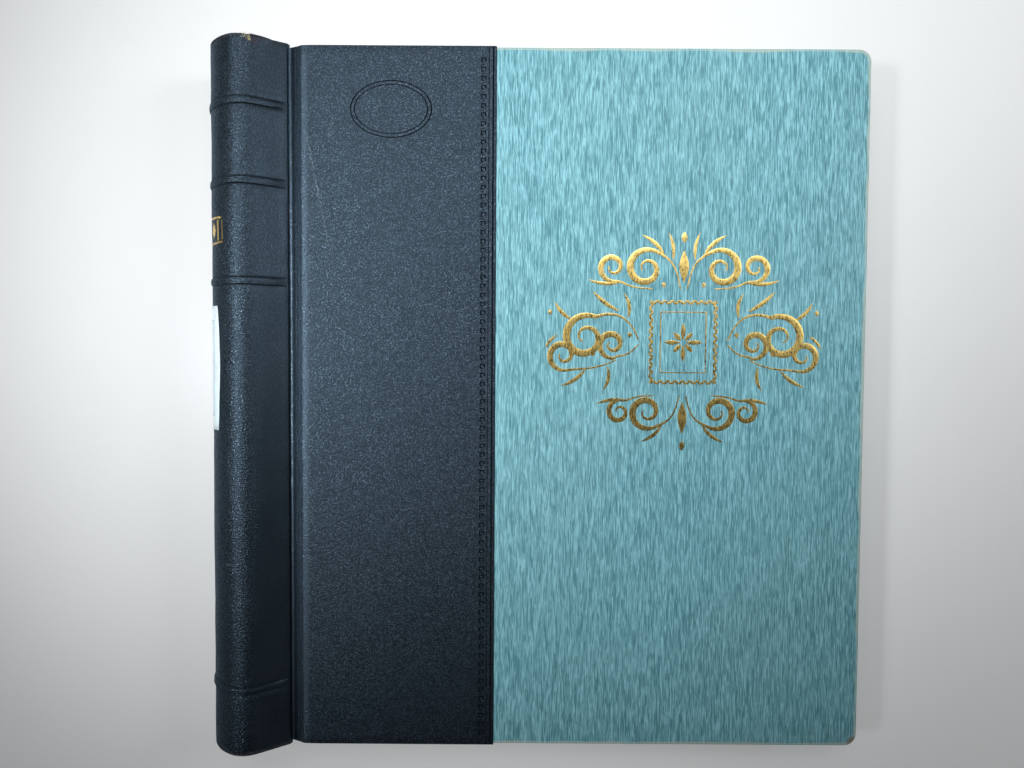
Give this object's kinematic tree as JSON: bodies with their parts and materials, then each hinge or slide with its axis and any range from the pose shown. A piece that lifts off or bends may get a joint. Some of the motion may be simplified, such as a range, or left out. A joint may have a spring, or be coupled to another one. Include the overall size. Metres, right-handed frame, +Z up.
{
  "type": "stamp album",
  "caption": "Half-leather spring-back album that clamps loose stamp leaves in a steel-sprung spine, with hinged covers and linen-jointed leaves.",
  "frame": {"origin": "centre of the bottom of the album's box, on the table that it lies on", "axes": "+X towards the fore-edge, +Y towards the head, +Z up out of the front cover; the covers slope down to the fore-edge by 2.26 degrees, as the thick spine makes them"},
  "size_m": [0.2984, 0.3184, 0.0512],
  "materials": {
    "leather": "black grained leather, worn to a soft gloss",
    "cover_paper": "teal marbled paper with fine upright streaks, satin",
    "pastedown_paper": "matt laid paper, lightly toned",
    "millboard": "dense grey-brown millboard",
    "joint_cloth": "dark book cloth",
    "spring_steel": "blued spring steel",
    "lining_paper": "brown wrapping paper",
    "band_card": "card strip",
    "cap_cord": "yellow twisted cotton thread",
    "label_paper": "blank white paper",
    "lever_steel": "black enamel",
    "stub_card": "buff card",
    "linen": "unbleached linen",
    "leaf_paper": "smooth album card, toned at the edges"
  },
  "bodies": {
    "binding": {"spine_spring": "spring_steel", "spine_lining": "lining_paper", "spine_leather": "leather", "raised_bands": "band_card", "head_cord": "cap_cord", "tail_cord": "cap_cord", "spine_label": "label_paper", "front_lever": "lever_steel", "back_lever": "lever_steel", "stub_block": "stub_card", "stub_linen": "linen", "leaf_block": "leaf_paper", "leaf_block_linen": "linen"},
    "front_cover": {"front_board": "millboard", "front_leather": "leather", "front_paper": "cover_paper", "front_pastedown": "pastedown_paper", "front_joint_cloth": "joint_cloth"},
    "back_cover": {"back_board": "millboard", "back_leather": "leather", "back_paper": "cover_paper", "back_pastedown": "pastedown_paper", "back_joint_cloth": "joint_cloth"},
    "flyleaf": {"flyleaf": "leaf_paper", "flyleaf_linen": "linen"},
    "title_leaf": {"title_leaf": "leaf_paper", "title_leaf_linen": "linen"},
    "leaf_1": {"leaf_1": "leaf_paper", "leaf_1_linen": "linen"},
    "leaf_2": {"leaf_2": "leaf_paper", "leaf_2_linen": "linen"},
    "leaf_3": {"leaf_3": "leaf_paper", "leaf_3_linen": "linen"},
    "leaf_4": {"leaf_4": "leaf_paper", "leaf_4_linen": "linen"},
    "leaf_5": {"leaf_5": "leaf_paper", "leaf_5_linen": "linen"},
    "leaf_6": {"leaf_6": "leaf_paper", "leaf_6_linen": "linen"}
  },
  "joints": [
    {"name": "front_cover_hinge", "type": "hinge", "parent": "binding", "child": "front_cover", "pos_m": [-0.11018, 0, 0.03652], "axis": [0, -1, 0], "range_deg": [0, 98]},
    {"name": "back_cover_hinge", "type": "hinge", "parent": "binding", "child": "back_cover", "pos_m": [-0.1111, 0, 0.01314], "axis": [0, 1, 0], "range_deg": [0, 98]},
    {"name": "flyleaf_turn", "type": "hinge", "parent": "binding", "child": "flyleaf", "pos_m": [-0.10723, 0, 0.03512], "axis": [0, -1, 0], "range_deg": [0, 92.2]},
    {"name": "title_leaf_turn", "type": "hinge", "parent": "binding", "child": "title_leaf", "pos_m": [-0.10661, 0, 0.0344], "axis": [0, -1, 0], "range_deg": [0, 82.4]},
    {"name": "leaf_1_turn", "type": "hinge", "parent": "binding", "child": "leaf_1", "pos_m": [-0.10599, 0, 0.03367], "axis": [0, -1, 0], "range_deg": [0, 72.6]},
    {"name": "leaf_2_turn", "type": "hinge", "parent": "binding", "child": "leaf_2", "pos_m": [-0.10537, 0, 0.03295], "axis": [0, -1, 0], "range_deg": [0, 62.8]},
    {"name": "leaf_3_turn", "type": "hinge", "parent": "binding", "child": "leaf_3", "pos_m": [-0.10475, 0, 0.03222], "axis": [0, -1, 0], "range_deg": [0, 53]},
    {"name": "leaf_4_turn", "type": "hinge", "parent": "binding", "child": "leaf_4", "pos_m": [-0.10412, 0, 0.0315], "axis": [0, -1, 0], "range_deg": [0, 43.2]},
    {"name": "leaf_5_turn", "type": "hinge", "parent": "binding", "child": "leaf_5", "pos_m": [-0.1035, 0, 0.03077], "axis": [0, -1, 0], "range_deg": [0, 33.4]},
    {"name": "leaf_6_turn", "type": "hinge", "parent": "binding", "child": "leaf_6", "pos_m": [-0.10288, 0, 0.03005], "axis": [0, -1, 0], "range_deg": [0, 23.6]}
  ],
  "couplings": [
    {"joint": "flyleaf_turn", "follows": "front_cover_hinge", "ratio": 0.94},
    {"joint": "title_leaf_turn", "follows": "front_cover_hinge", "ratio": 0.84},
    {"joint": "leaf_1_turn", "follows": "front_cover_hinge", "ratio": 0.74},
    {"joint": "leaf_2_turn", "follows": "front_cover_hinge", "ratio": 0.64},
    {"joint": "leaf_3_turn", "follows": "front_cover_hinge", "ratio": 0.54},
    {"joint": "leaf_4_turn", "follows": "front_cover_hinge", "ratio": 0.44},
    {"joint": "leaf_5_turn", "follows": "front_cover_hinge", "ratio": 0.34},
    {"joint": "leaf_6_turn", "follows": "front_cover_hinge", "ratio": 0.24}
  ]
}
